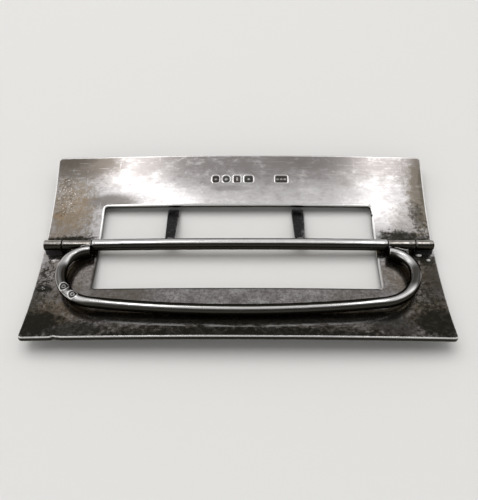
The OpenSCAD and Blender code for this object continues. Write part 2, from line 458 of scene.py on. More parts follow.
def mark_edges_and_shade(plate, masks, v):
    """Marks how burnished a point of the flat sheet is, which also paints the edges' highlights, and the
    painted shade on its walls and along the opening's near edges.
    """
    burnish_and_highlight, wall = masks
    x, across, height = v.co
    rim = -outside_by(x, across, plate.length / 2, flat_place(plate, plate.depth / 2), plate.corner)
    hole = outside_by(x - plate.opening_shift, across, plate.opening_length / 2,
                      flat_place(plate, plate.opening_width / 2), plate.opening_corner)
    right_side = x > opening_sides(plate)[1] - plate.opening_corner
    # Painted shade: the walls below the worn top edge are darkened
    v[wall] = ease(-height, 0.3 * plate.back_edge, 0.6 * plate.back_edge)
    if across > 0:
        v[burnish_and_highlight] = 1 - ease(min(rim, hole), *FAR_SHINE)
        return
    v[burnish_and_highlight] = 1 - ease(rim, *NEAR_SHINE)
    if across < 0 and right_side:
        v[burnish_and_highlight] = max(v[burnish_and_highlight], 1 - ease(hole, *RIGHT_SHINE))
    elif across < 0:
        v[wall] = max(v[wall], 0.8 * (1 - ease(hole, *NEAR_SHADE)))


def shape_plate(plate):
    """Curved plate with its punch marks, knocks and hammer waves, and masks for its finish."""
    bm = flat_sheet(plate)
    row = flat_place(plate, plate.punch_row)
    margin, fine, knock_grain, lip_height = 0.35 * MM, 0.09 * MM, 0.13 * MM, 0.03 * MM
    for mark in PUNCHES:
        half_w, half_h = mark.width / 2 + margin, plate.punch_height / 2 + margin
        refine(bm, (mark.place - half_w, row - half_h), (mark.place + half_w, row + half_h),
               fine, only_back=True)
    knocks = edge_knocks(plate)
    for knock in knocks:
        reach = Vector((1.6, 1.6)) * knock.reach
        refine(bm, knock.middle - reach, knock.middle + reach, knock_grain)
    burnish_and_highlight, sunken, wall, lips = new_masks(bm, "burnish_and_highlight", "sunken", "wall", "lips")
    for v in bm.verts:
        mark_edges_and_shade(plate, (burnish_and_highlight, wall), v)
        x, across, height = v.co
        for mark in PUNCHES:
            if height > -WELD and abs(x - mark.place) < mark.width and abs(across - row) < 2 * MM:
                sunk, lip = punch_at(plate, mark, x, across)
                v[sunken] = max(v[sunken], sunk)
                v[lips] = max(v[lips], lip)
                height += lip_height * lip - plate.punch_depth * sunk
        place = Vector((x, across))
        for knock in knocks:
            away = (place - knock.middle).length / knock.reach
            if away < 3:
                push = knock.push * math.exp(-away * away)
                x, across = x + push.x, across + push.y
        v.co = on_saddle(plate, x, across, height)
        v.co.z += plate.unevenness * hammer_waves(x, across)
    return bm


# Hinge bar

def turned(profile, segments=48):
    """A closed outline of places along the bar and radii, spun a full turn about the hinge line."""
    bm = bmesh.new()
    ring = [bm.verts.new(HINGE + Vector((x, 0, radius))) for x, radius in profile]
    lines = [bm.edges.new(pair) for pair in zip(ring, ring[1:] + ring[:1])]
    bmesh.ops.spin(bm, geom=ring + lines, cent=HINGE, axis=ALONG, dvec=(0, 0, 0),
                   angle=2 * math.pi, steps=segments, use_merge=True)
    bmesh.ops.recalc_face_normals(bm, faces=bm.faces)
    return bm


def scuff(bm, amount, grain):
    """Moves each point a little, as wear and handling do."""
    bm.normal_update()
    for v in bm.verts:
        v.co += v.normal * amount * noise.noise(v.co / grain)


def tube_outline(start, end, outside, bore, pitch):
    """Outline of a tube for turned(), with points a pitch apart along its outside."""
    return [(start, bore), (start, outside), *((x, outside) for x in steps(start, end, pitch)),
            (end, outside), (end, bore)]


def on_outside(bar, vert):
    """Whether a point of a tube lies on its outside and not in its bore."""
    return (vert.co - HINGE).yz.length > 1.1 * bar.bore / 2


def round_tube_ends(bm, bar):
    """Rounds the outer edges of a tube's two ends."""
    round_off(bm, sharp_edges(bm, SHARP, lambda e: all(on_outside(bar, v) for v in e.verts)), WORN_EDGE)


def knuckle(bar, start, end, burr_at=None, worn_at=None):
    """Short tube. A burr stands round it at burr_at, and it is worn thin at worn_at."""
    bm = turned(tube_outline(start, end, bar.knuckle / 2, bar.bore / 2, pitch=0.4 * MM))
    for v in bm.verts:
        height = 0
        if burr_at is not None:
            height += BURR_HEIGHT * bell(v.co.x, burr_at, BURR_REACH)
        if worn_at is not None:
            height -= THINNED_BY * (1 - ease(abs(v.co.x - worn_at), 0, THINNED_REACH))
        if on_outside(bar, v):
            v.co += Vector((0, *(v.co - HINGE).yz)).normalized() * height
    round_tube_ends(bm, bar)
    scuff(bm, amount=0.012 * MM, grain=1.1 * MM)
    return bm


def knuckle_places(bar, side):
    """Start and end of the outer and of the inner knuckle on one side, from left to right."""
    extra = bar.left_extra if side < 0 else 0
    outer = (bar.bar / 2 - bar.outer_knuckle, bar.bar / 2)
    inner = (outer[0] - bar.gap - bar.inner_knuckle - extra, outer[0] - bar.gap)
    return [tuple(sorted(side * x for x in ends)) for ends in (outer, inner)]


def tube_ends(bar):
    """Left and right end of the long tube."""
    return knuckle_places(bar, -1)[1][1] + bar.gap, knuckle_places(bar, 1)[1][0] - bar.gap


def knuckle_seat(plate, bar, start, end):
    """Solder that fills the space between an outer knuckle and the plate."""
    sunk_in, flare, short_by, rounding = 0.3 * MM, 1.55, 0.1 * MM, 0.12 * MM
    middle = (start + end) / 2
    foot = back_height(plate, middle, HINGE.y)
    tall = HINGE.z - foot + sunk_in
    bm = bmesh.new()
    bmesh.ops.create_cube(bm, size=1)
    for v in bm.verts:
        width = bar.seat * (flare if v.co.z < 0 else 1)
        v.co = Vector((middle + v.co.x * (end - start - short_by), HINGE.y + v.co.y * width,
                       foot - sunk_in + (v.co.z + 0.5) * tall))
    round_off(bm, bm.edges[:], rounding, segments=2)
    bmesh.ops.subdivide_edges(bm, edges=bm.edges[:], cuts=3, use_grid_fill=True)
    scuff(bm, amount=0.05 * MM, grain=0.8 * MM)
    return bm


def blob(reach, middle):
    """Ball squashed to three half widths, at a place."""
    bm = bmesh.new()
    bmesh.ops.create_icosphere(bm, subdivisions=3, radius=1)
    bmesh.ops.scale(bm, verts=bm.verts, vec=reach)
    bmesh.ops.translate(bm, verts=bm.verts, vec=middle)
    return bm


def solder_drops(plate, drops):
    """Flat drops of solder on the plate."""
    bm = bmesh.new()
    for drop in drops:
        one = blob(drop.reach, (*drop.place, back_height(plate, *drop.place)))
        scuff(one, amount=0.05 * MM, grain=0.6 * MM)
        merge_in(bm, one)
    return bm


def merge_in(bm, other):
    """Adds another bmesh's shape to this one."""
    spare = bpy.data.meshes.new("spare")
    other.to_mesh(spare)
    other.free()
    bm.from_mesh(spare)
    bpy.data.meshes.remove(spare)


def pin_shape(bar):
    """Pin through the whole bar, with its two ends hammered over."""
    end, pin = bar.bar / 2, bar.pin / 2
    half = [(end, pin), *((end + past, radius) for past, radius in PIN_END)]
    outline = half + [(-x, radius) for x, radius in reversed(half)]
    return turned(outline, segments=32)


def tube_shape(bar):
    """Long tube between the inner knuckles, bowed up a little in its middle."""
    left, right = tube_ends(bar)
    outline = tube_outline(left, right, bar.tube / 2, bar.bore / 2, pitch=0.9 * MM)
    outline += [(x, bar.bore / 2) for x in reversed(steps(left, right, 6 * MM))]
    bm = turned(outline)
    round_tube_ends(bm, bar)
    scuff(bm, amount=0.016 * MM, grain=2.4 * MM)
    for v in bm.verts:
        v.co.z += tube_bow(bar, v.co.x)
    return bm


def tube_bow(bar, x):
    """How far the tube stands above the hinge line at a place along it."""
    left, right = tube_ends(bar)
    return bar.bow * max(0.0, 1 - ((2 * x - left - right) / (right - left)) ** 2)


# Prongs

def prong_shape(bar, prong, x):
    """Flat prong that slopes down from the tube, with a round tip and worn long edges."""
    drop = math.asin((HINGE.z - prong.floor_gap - prong.thickness / 2) / prong.reach)
    top_wear, low_wear, cell = 0.26 * MM, 0.1 * MM, 0.5 * MM
    # The worn tip, and a painted highlight along the right long edge only
    lit_right_edge, rubbed_tip = (0.34 * MM, 0.16 * MM), (0.5 * MM, 0.1 * MM)
    bm = bmesh.new()
    bmesh.ops.create_cube(bm, size=1)
    for v in bm.verts:
        width = prong.tip if v.co.y > 0 else prong.root
        v.co = Vector((v.co.x * width, (v.co.y + 0.5) * prong.reach, v.co.z * prong.thickness))
    tip = sharp_edges(bm, SHARP, lambda e: all(v.co.y > prong.reach - WELD for v in e.verts)
                      and abs(e.verts[0].co.z - e.verts[1].co.z) > WELD)
    round_off(bm, tip, prong.tip_corner, segments=6)
    for face, wear in ((1, top_wear), (-1, low_wear)):
        rim = sharp_edges(bm, SHARP_BY_BEVEL, lambda e: all(
            v.co.z * face > prong.thickness / 2 - WELD for v in e.verts))
        round_off(bm, rim, wear, segments=2)
    slice_up(bm, everything(bm), ACROSS, steps(0, prong.reach, cell))
    burnish_and_highlight, = new_masks(bm, "burnish_and_highlight")
    for v in bm.verts:
        half = (prong.root + (prong.tip - prong.root) * v.co.y / prong.reach) / 2
        right_edge_highlight = ease(v.co.x, *(half - inset for inset in lit_right_edge))
        end_rub = ease(v.co.y, *(prong.reach - inset for inset in rubbed_tip))
        if v.co.z > -WELD:
            v[burnish_and_highlight] = max(right_edge_highlight, end_rub)
    scuff(bm, amount=0.015 * MM, grain=1.5 * MM)
    bmesh.ops.rotate(bm, verts=bm.verts, cent=(0, 0, 0), matrix=Matrix.Rotation(-drop, 3, "X"))
    for v in bm.verts:
        nearness = 1 - ease(v.co.y, 0, prong.reach)
        v.co += HINGE + Vector((x, 0, tube_bow(bar, x) * nearness))
    return bm


def prong_solder(bar, prong, x):
    """Solder at a prong's root, with a bead at its right side."""
    tube = bar.tube / 2
    bm = blob(reach=(0.62 * prong.root, 0.75 * MM, 0.62 * MM),
              middle=(0, tube - 0.05 * MM, -0.35 * MM))
    merge_in(bm, blob(reach=[0.42 * MM] * 3,
                      middle=(prong.root / 2 + 0.25 * MM, tube - 0.12 * MM, 0.25 * MM)))
    scuff(bm, amount=0.05 * MM, grain=0.5 * MM)
    bmesh.ops.translate(bm, verts=bm.verts, vec=HINGE + Vector((x, 0, tube_bow(bar, x))))
    return bm


# Belt loop

def loop_lines(loop):
    """Centres, radii and turns of the arcs of the right half of the loop's wire, in its own plane."""
    half = loop.length / 2
    side_y = -loop.end_reach - loop.end_bend
    bow_y = loop.bow - loop.reach
    run_bend = ((loop.bow ** 2 - half ** 2 - (bow_y - side_y) ** 2) / (2 * (loop.bow - half)))
    end_centre = Vector((half - loop.end_bend, side_y, 0))
    run_centre = Vector((half - run_bend, side_y, 0))
    run_turn = math.acos(run_centre.x / (loop.bow - run_bend))
    return end_centre, run_centre, run_bend, run_turn, Vector((0, bow_y, 0))


def end_turn(loop, bar, side):
    """How far round its bend the wire goes before it is cut off, level with the knuckle's inner end."""
    _, inner = knuckle_places(bar, side)
    start = min(abs(x) for x in inner)
    return math.acos((start - loop.length / 2 + loop.end_bend) / loop.end_bend)


def loop_rest(plate, loop):
    """Slope at which the long run comes to rest on the plate's trough."""
    trough, _ = bend_radii(plate)
    across = -HINGE.y
    down = HINGE.z - plate.arch - plate.thickness - trough
    clear = trough - loop.wire / 2 - loop.rest_gap
    level, upright = 2 * across * loop.reach, 2 * down * loop.reach
    rest = clear ** 2 - across ** 2 - down ** 2 - loop.reach ** 2
    return math.atan2(upright, level) + math.acos(rest / math.hypot(level, upright))


def sweep(bm, ring, centre, angle, count):
    """Carries a ring of the wire clockwise round a bend, and returns the ring at its end."""
    return bmesh.ops.spin(bm, geom=ring, cent=centre, axis=(0, 0, -1), dvec=(0, 0, 0),
                          angle=angle, steps=count)["geom_last"]


def loop_punch_places(loop):
    """Middles of the two round punch marks on the left bend, in the loop's own plane."""
    _, run_centre, run_bend, _, _ = loop_lines(loop)
    angles = [math.radians(a) for a in LOOP_PUNCH_ANGLES]
    return [Vector((-run_centre.x - run_bend * math.cos(a), run_centre.y - run_bend * math.sin(a)))
            for a in angles]


def lay_loop(bm, plate, loop):
    """Turns and moves a shape from the loop's own plane to where the loop rests."""
    bmesh.ops.rotate(bm, verts=bm.verts, cent=(0, 0, 0),
                     matrix=Matrix.Rotation(-loop_rest(plate, loop), 3, "X"))
    bmesh.ops.translate(bm, verts=bm.verts, vec=HINGE)


def bent_wire(bar, loop):
    """Round wire bent into the loop in its own plane, with square-cut ends."""
    end_centre, run_centre, _, run_turn, bow_centre = loop_lines(loop)
    right_turn, left_turn = end_turn(loop, bar, 1), end_turn(loop, bar, -1)
    upright = Vector((0, 0, 1))
    spoke = Vector((math.cos(right_turn), math.sin(right_turn), 0))
    across = Matrix((spoke, upright, spoke.cross(upright))).transposed()
    place = Matrix.Translation(end_centre + spoke * loop.end_bend) @ across.to_4x4()
    bm = bmesh.new()
    made = bmesh.ops.create_circle(bm, cap_ends=False, radius=loop.wire / 2, segments=40, matrix=place)
    first = bm.edges[:]
    mirror, rise = Vector((-1, 1, 1)), Vector((0, loop.left_rise, 0))
    ring = made["verts"] + first
    for centre, angle, count in (
            (end_centre, right_turn, END_STEPS), (run_centre, run_turn, BEND_STEPS),
            (bow_centre, math.pi - 2 * run_turn, RUN_STEPS),
            (run_centre * mirror, run_turn, BEND_STEPS)):
        ring = sweep(bm, ring, centre, angle, count)
    ring = bmesh.ops.extrude_edge_only(bm, edges=edges_of(ring))["geom"]
    loose = verts_of(ring)
    bmesh.ops.translate(bm, vec=rise, verts=loose)
    ring = loose + [e for e in edges_of(ring) if all(v in loose for v in e.verts)]
    ring = sweep(bm, ring, end_centre * mirror + rise, left_turn, END_STEPS)
    for rim in (first, edges_of(ring)):
        bmesh.ops.contextual_create(bm, geom=rim)
    bmesh.ops.recalc_face_normals(bm, faces=bm.faces)
    round_off(bm, sharp_edges(bm, SHARP), WORN_EDGE)
    return bm


def punch_wire(bm, loop):
    """Sinks the two punch marks into the wire, and marks them for the finish."""
    sunken, lips = new_masks(bm, "sunken", "lips")
    punches = loop_punch_places(loop)
    floor, brim = loop.punch - 0.12 * MM, loop.punch + 0.04 * MM
    ring_radius, ring_width = 0.4 * MM, 0.15 * MM
    lip_radius, lip_width, lip_height = loop.punch + 0.14 * MM, 0.13 * MM, 0.05 * MM
    for middle in punches:
        close = dict.fromkeys(
            e for f in bm.faces for e in f.edges
            if f.normal.z > 0.2 and (f.calc_center_median().xy - middle).length < 1.7 * loop.punch)
        bmesh.ops.subdivide_edges(bm, edges=list(close), cuts=3, use_grid_fill=True)
    for v in bm.verts:
        for middle in punches:
            away = (v.co.xy - middle).length
            if v.co.z > 0 and away < 2.2 * loop.punch:
                ring = bell(away, ring_radius, ring_width)
                lip = bell(away, lip_radius, lip_width)
                sunk = (1 - ease(away, floor, brim)) * (1 - 0.8 * ring)
                v[sunken] = max(v[sunken], sunk)
                v[lips] = max(v[lips], 0.9 * lip, 0.6 * ring)
                v.co.z += lip_height * lip - loop.punch_depth * sunk


def wire_shape(plate, bar, loop):
    """The loop's wire with its two punch marks, where it rests on the plate."""
    bm = bent_wire(bar, loop)
    punch_wire(bm, loop)
    scuff(bm, amount=0.014 * MM, grain=3 * MM)
    lay_loop(bm, plate, loop)
    return bm


def loop_solder(plate, bar, loop, side):
    """Solder that fills the groove between a knuckle and the wire's end."""
    end_centre = loop_lines(loop)[0]
    if side < 0:
        end_centre.y += loop.left_rise
    start = min(abs(x) for x in knuckle_places(bar, side)[1])
    size_x, size_y, depth = 4.6 * MM, 2.3 * MM, 0.5 * MM
    softness, inset, sunk_by, fade_from, fade_by = 0.24 * MM, 0.06 * MM, 0.05 * MM, 2.2 * MM, 0.6 * MM

    def top(radius, off_line):
        return math.exp(math.sqrt(max(0.0, radius ** 2 - off_line ** 2)) / softness)

    bm = bmesh.new()
    bmesh.ops.create_grid(bm, x_segments=38, y_segments=30, size=0.5)
    for v in bm.verts:
        x = start + inset + (v.co.x + 0.5) * size_x
        y = -(v.co.y + 0.5) * size_y
        off_wire = abs(math.hypot(x - end_centre.x, y - end_centre.y) - loop.end_bend)
        height = softness * math.log(top(bar.knuckle / 2, y) + top(loop.wire / 2, off_wire))
        fade = ease(x, start + fade_from, start + size_x)
        v.co = Vector((x, y, height - sunk_by - fade * fade_by))
    made = bmesh.ops.extrude_face_region(bm, geom=bm.faces[:])
    bmesh.ops.translate(bm, vec=(0, 0, -depth), verts=verts_of(made["geom"]))
    for v in bm.verts:
        v.co.x *= side
    scuff(bm, amount=0.03 * MM, grain=0.7 * MM)
    lay_loop(bm, plate, loop)
    return bm


# Node helpers

def sum_of(operation, turned_round=False):
    """A method that makes a sum node of a value and another one, or of the two turned round."""
    def add_node(self, other=0.0):
        a, b = (other, self) if turned_round else (self, other)
        return self.board.math(operation, a, b)
    return add_node


class Value:
    """An output in a node tree that takes part in sums as a plain number does."""

    __add__ = sum_of("ADD")
    __sub__ = sum_of("SUBTRACT")
    __rsub__ = sum_of("SUBTRACT", turned_round=True)
    __mul__ = sum_of("MULTIPLY")
    __truediv__ = sum_of("DIVIDE")
    __rtruediv__ = sum_of("DIVIDE", turned_round=True)
    __pow__ = sum_of("POWER")
    __abs__ = sum_of("ABSOLUTE")
    at_least = sum_of("MAXIMUM")
    at_most = sum_of("MINIMUM")

    def __init__(self, board, socket):
        self.board = board
        self.socket = socket

    def between(self, low, high, to_low=0.0, to_high=1.0):
        """Smooth step of the value from one range to another."""
        return self.board.value("ShaderNodeMapRange", {
            "Value": self, "From Min": low, "From Max": high, "To Min": to_low, "To Max": to_high,
        }, interpolation_type="SMOOTHSTEP")


class Board:
    """A node tree that takes nodes with their inputs given by name or number."""

    def __init__(self, tree):
        self.tree = tree

    def feed(self, value, socket):
        """Links a node's output to a socket, or sets a plain value on it."""
        if isinstance(value, Value):
            self.tree.links.new(value.socket, socket)
        else:
            socket.default_value = value

    def add(self, kind, inputs=None, **settings):
        """A new node."""
        node = self.tree.nodes.new(kind)
        for key, value in settings.items():
            setattr(node, key, value)
        for key, value in (inputs or {}).items():
            self.feed(value, node.inputs[key])
        return node

    def value(self, kind, inputs=None, output=0, **settings):
        """One output of a new node."""
        return Value(self, self.add(kind, inputs, **settings).outputs[output])

    def math(self, operation, a, b):
        return self.value("ShaderNodeMath", {0: a, 1: b}, operation=operation)

    def vector(self, operation, a, b):
        return self.value("ShaderNodeVectorMath", {0: a, 1: b}, operation=operation)

    def axes(self, vector):
        """The three parts of a vector."""
        return [Value(self, part) for part in self.add("ShaderNodeSeparateXYZ", {0: vector}).outputs]

    def noise(self, place, scale, detail=3.0, roughness=0.55, distortion=0.0):
        return self.value("ShaderNodeTexNoise", {
            "Vector": place, "Scale": scale, "Detail": detail, "Roughness": roughness,
            "Distortion": distortion})

    def attribute(self, name, output="Fac"):
        return self.value("ShaderNodeAttribute", None, output, attribute_name=name)

    def coats(self, ground, *coats):
        """Colour of a ground under coats, each a mask with its colour, the last one on top."""
        for mask, colour in coats:
            ground, colour = [c if isinstance(c, Value) else (*c, 1.0) for c in (ground, colour)]
            ground = self.value("ShaderNodeMix", {0: mask, 6: ground, 7: colour}, 2, data_type="RGBA")
        return ground

    def effect(self, name, place, **inputs):
        """The outputs of one of the shared effect groups with its own values."""
        node = self.tree.nodes.new("ShaderNodeGroup")
        node.node_tree = bpy.data.node_groups[name]
        for key, value in {"Place": place, **inputs}.items():
            self.feed(value, node.inputs[key])
        return [Value(self, output) for output in node.outputs]

    def mask(self, name, place, **inputs):
        """The mask that an effect group makes."""
        return self.effect(name, place, **inputs)[0]


# Shared effects. Each takes places in millimetres as Place

def new_effect(name, outputs, **inputs):
    """An empty shader group with named inputs and outputs, its board, what it is given and its end."""
    tree = bpy.data.node_groups.new(name, "ShaderNodeTree")
    tree.interface.new_socket("Place", in_out="INPUT", socket_type="NodeSocketVector")
    for label, value in inputs.items():
        kind = "Vector" if isinstance(value, tuple) else "Float"
        socket = tree.interface.new_socket(label, in_out="INPUT", socket_type="NodeSocket" + kind)
        socket.default_value = value
    for label in outputs:
        tree.interface.new_socket(label, in_out="OUTPUT", socket_type="NodeSocketFloat")
    board = Board(tree)
    given = {socket.name: Value(board, socket) for socket in board.add("NodeGroupInput").outputs}
    return board, given, board.add("NodeGroupOutput").inputs


def make_brushing():
    """Fine lines left by polishing, drawn out along one direction."""
    board, given, end = new_effect("brushing", ("Lines", "Scratches"), Stretch=(0.12, 1.0, 1.0),
                                   Fineness=5.0, Share=0.5)
    drawn = board.vector("MULTIPLY", given["Place"], given["Stretch"])
    elsewhere = board.vector("ADD", drawn, (31.0, 17.0, 5.0))
    board.feed(board.noise(drawn, given["Fineness"], 4.0, 0.7), end["Lines"])
    long_lines = board.noise(elsewhere, given["Fineness"] * 0.8, 1.0)
    edge = 0.78 - given["Share"] * 0.2
    board.feed(long_lines.between(edge, edge + 0.05), end["Scratches"])


def make_bloom():
    """Ragged patches of tarnish. Cover says how much of the metal they take."""
    board, given, end = new_effect("tarnish_bloom", ("Mask",), Size=6.0, Cover=0.5, Crispness=0.5)
    broad = board.noise(given["Place"], 1.0 / given["Size"], 5.0, 0.62)
    level = 0.78 - given["Cover"] * 0.56
    spread = 0.30 - given["Crispness"] * 0.26
    board.feed(broad.between(level - spread, level + spread), end["Mask"])


def make_placed_patch():
    """One patch with ragged edges at a place of its own."""
    board, given, end = new_effect("placed_patch", ("Mask",), Middle=(0.0, 0.0, 0.0),
                                   Reach=(1.0, 1.0, 1.0), Raggedness=0.5)
    away = board.vector("DIVIDE", board.vector("SUBTRACT", given["Place"], given["Middle"]),
                        given["Reach"])
    distance = board.value("ShaderNodeVectorMath", {0: away}, 1, operation="LENGTH")
    ragged = board.noise(given["Place"], 0.9, 5.0, 0.7) - 0.5
    torn = distance + ragged * (given["Raggedness"] * 3.0)
    board.feed(torn.between(1.0, 0.45), end["Mask"])


def make_pitting():
    """Small specks and pits."""
    board, given, end = new_effect("pitting", ("Mask",), Fineness=1.4, Cover=0.5)
    cells = board.noise(given["Place"], given["Fineness"], 2.5, 0.6)
    level = 0.72 - given["Cover"] * 0.3
    board.feed(cells.between(level, level + 0.07), end["Mask"])


def make_worm_marks():
    """Thin winding lines that old tarnish eats into silver."""
    board, given, end = new_effect("worm_marks", ("Mask",), Fineness=0.8, Width=0.05, Cover=0.5)
    off_line = abs(board.noise(given["Place"], given["Fineness"], 2.0, 0.6, 0.9) - 0.5)
    lines = off_line.between(given["Width"], given["Width"] * 0.35)
    level = 0.72 - given["Cover"] * 0.44
    gate = board.noise(given["Place"], 0.35, 2.0).between(level, level + 0.1)
    board.feed(lines * gate, end["Mask"])


def make_edge_shine():
    """Burnished edges that also paint the edges' highlights: a soft band along an edge, broken up a little.
    """
    board, given, end = new_effect("edge_shine", ("Mask",), Edge=0.0, Breakup=0.4)
    broken = (board.noise(given["Place"], 0.7, 3.0) - 0.5) * given["Breakup"]
    board.feed((given["Edge"] + broken).between(0.3, 0.85), end["Mask"])


def make_wire_reflection_line():
    """Painted reflection of a bowed wire in the sheet: a broken bright line, with its curve given at 40 mm.
    """
    board, given, end = new_effect("wire_reflection_line", ("Mask",), Middle=-22.65, Bow=2.4, Turn=8.0, Width=0.45)
    along, across, _ = board.axes(given["Place"])
    share = abs(along / 40.0) ** 2.0
    curve = share * given["Bow"] + share ** 4.0 * given["Turn"]
    line = abs(across - (curve + given["Middle"])).between(given["Width"], given["Width"] * 0.2)
    drawn = board.vector("MULTIPLY", given["Place"], (0.22, 1.0, 1.0))
    broken = board.noise(drawn, 0.7, 3.0).between(0.40, 0.52)
    board.feed(line * broken * share.between(0.95, 0.85), end["Mask"])


EFFECT_MAKERS = (make_brushing, make_bloom, make_placed_patch, make_pitting, make_worm_marks,
                 make_edge_shine, make_wire_reflection_line)


# Metals

def new_metal(name):
    """A material's empty board, its shader, and places on the piece in millimetres."""
    material = bpy.data.materials.new(name)
    material.use_nodes = True
    board = Board(material.node_tree)
    shader = board.tree.nodes["Principled BSDF"]
    shader.inputs["Metallic"].default_value = 1.0
    coordinates = board.value("ShaderNodeTexCoord", None, "Object")
    place = board.value("ShaderNodeMapping", {"Vector": coordinates, "Scale": (1 / MM,) * 3})
    return board, shader, place


def dress(board, shader, colour, roughness, relief, height):
    """Gives a metal its colour, its roughness and a relief of a height."""
    board.feed(colour, shader.inputs["Base Color"])
    board.feed(roughness, shader.inputs["Roughness"])
    board.feed(board.value("ShaderNodeBump", {"Height": relief, "Distance": height, "Strength": 1.0}),
               shader.inputs["Normal"])


def patches(board, place, places, raggedness):
    """The strongest of several placed patches."""
    total = None
    for patch in places:
        mask = board.mask("placed_patch", place, Middle=(*patch.middle, 3.5), Reach=(*patch.reach, 12),
                          Raggedness=raggedness) * patch.strength
        total = total.at_least(mask) if total else mask
    return total


# Broad dulled areas of the plate's back; along the near rim, on the near half and just below the left
# window's reflection they also paint shade
DULL_PATCHES = (
    Patch((-40.0, 24), (12, 5), 0.45), Patch((-30, 13.4), (7, 2.4), 0.3),
    Patch((45, 14), (4.8, 16), 0.95), Patch((27, 19), (5, 3.5), 0.25),
    Patch((43.5, -7.5), (6, 7), 0.9), Patch((-43, -19), (10, 9), 0.9),
    Patch((43, -19), (10, 9), 0.95), Patch((0, -26), (60, 8.0), 0.9),
    Patch((-36, -15), (12, 6), 0.4), Patch((-26, -14), (9, 3.5), 0.8), Patch((25, -14), (8, 3), 0.35),
    Patch((-41, 10), (8.5, 16), 0.85), Patch((37, -8), (5, 7), 0.5), Patch((41, 6), (6, 8), 0.45),
)
# Old dark tarnish, and painted shade: the dark lines just behind the hinge bar, under the knuckles and
# beside the wire's ends, and along the near rim
DARK_PATCHES = (
    Patch((-43.5, -22), (9, 6), 1), Patch((-35.0, -23.5), (12, 3.5), 0.85),
    Patch((0, -26.5), (60, 6.2), 0.95), Patch((-40.0, 2.75), (8, 0.9), 1),
    Patch((-41, 24.6), (6, 2.4), 0.3),
    Patch((-43.9, -11.7), (3.2, 1.9), 1), Patch((39, 3.2), (9, 2.3), 0.95),
    Patch((43.2, 9.5), (2.4, 4.5), 0.45), Patch((43.0, -21.5), (8.5, 7), 0.95),
    Patch((45.4, 17.0), (1.0, 7), 0.35), Patch((37.5, -3.0), (5, 2.4), 0.8),
    Patch((-38.5, -2.6), (6, 1.3), 0.8), Patch((43.6, -3.5), (3.4, 2.6), 0.9),
    Patch((44, -10), (5, 9), 0.6), Patch((-46, -16), (3.0, 6), 0.6), Patch((34, -22.5), (9, 4.5), 0.7),
)
# Brown stains
STAIN_PATCHES = (
    Patch((-43.6, 9.4), (1.9, 1.7), 1), Patch((-41.0, 11.0), (6, 9), 0.6),
    Patch((42.9, 3.9), (1.3, 0.8), 0.8), Patch((38.6, -8.3), (0.8, 2.2), 0.5),
    Patch((32.3, 9.3), (0.5, 0.5), 1), Patch((-38, -19), (9, 5), 0.45),
    Patch((-38, -8), (9, 7), 0.3), Patch((38, -8), (8, 7), 0.35), Patch((-42.5, 3), (4, 5), 0.3),
    Patch((-44, 16), (2.2, 6), 0.35), Patch((42, -20), (8, 6), 0.3),
)
# Bright specks
BRIGHT_PATCHES = (
    Patch((-42.5, 15), (3.4, 6.5), 1), Patch((-44.2, -11.2), (1.1, 0.9), 1),
)
# Smooth grey film
FILM_PATCHES = (
    Patch((-39, 25), (13.5, 8), 1.0), Patch((-31.5, 13.2), (8, 2.6), 0.75),
    Patch((-43, 6), (5, 9), 0.35), Patch((45.0, 16), (3.0, 14), 0.8), Patch((20, 24.5), (14, 4), 0.3),
    Patch((-2, 16.5), (7, 1.0), 0.35),
)
# Areas of specks and winding lines
SPECKLED_PATCHES = (
    Patch((-43.3, 14.5), (4.4, 10), 0.6), Patch((-38.5, 2.2), (7, 2.8), 0.85),
    Patch((-43.8, -9), (3.6, 8), 1), Patch((43.6, 8.0), (2.6, 8), 0.85),
    Patch((-42, -18.0), (9, 8), 0.8), Patch((38.5, 3.5), (8, 2.6), 0.9),
    Patch((42, -14), (6, 11), 1), Patch((43.5, -4.5), (3.5, 4.5), 0.9),
    Patch((-33, -20), (7, 4), 0.5),
)

# Where a film or a dulled area begins and where it is full, in millimetres from the middle. The near film is
# painted shade
DULLED_ENDS, NEAR_FILM, FAR_FILM = (24.0, 42.0), (-0.5, -6.0), (15.0, 23.5)

# The same for the loop's bends, where less of the far side gets painted shade, and for the start and the end
# of the painted dark band on their two sides
LOOP_BENDS, SIDES_START, SIDES_END = (26.0, 33.0), (-5.8, -8.2), (-14.5, -12.0)
LEFT_TO_RIGHT = (-20.0, 20.0)


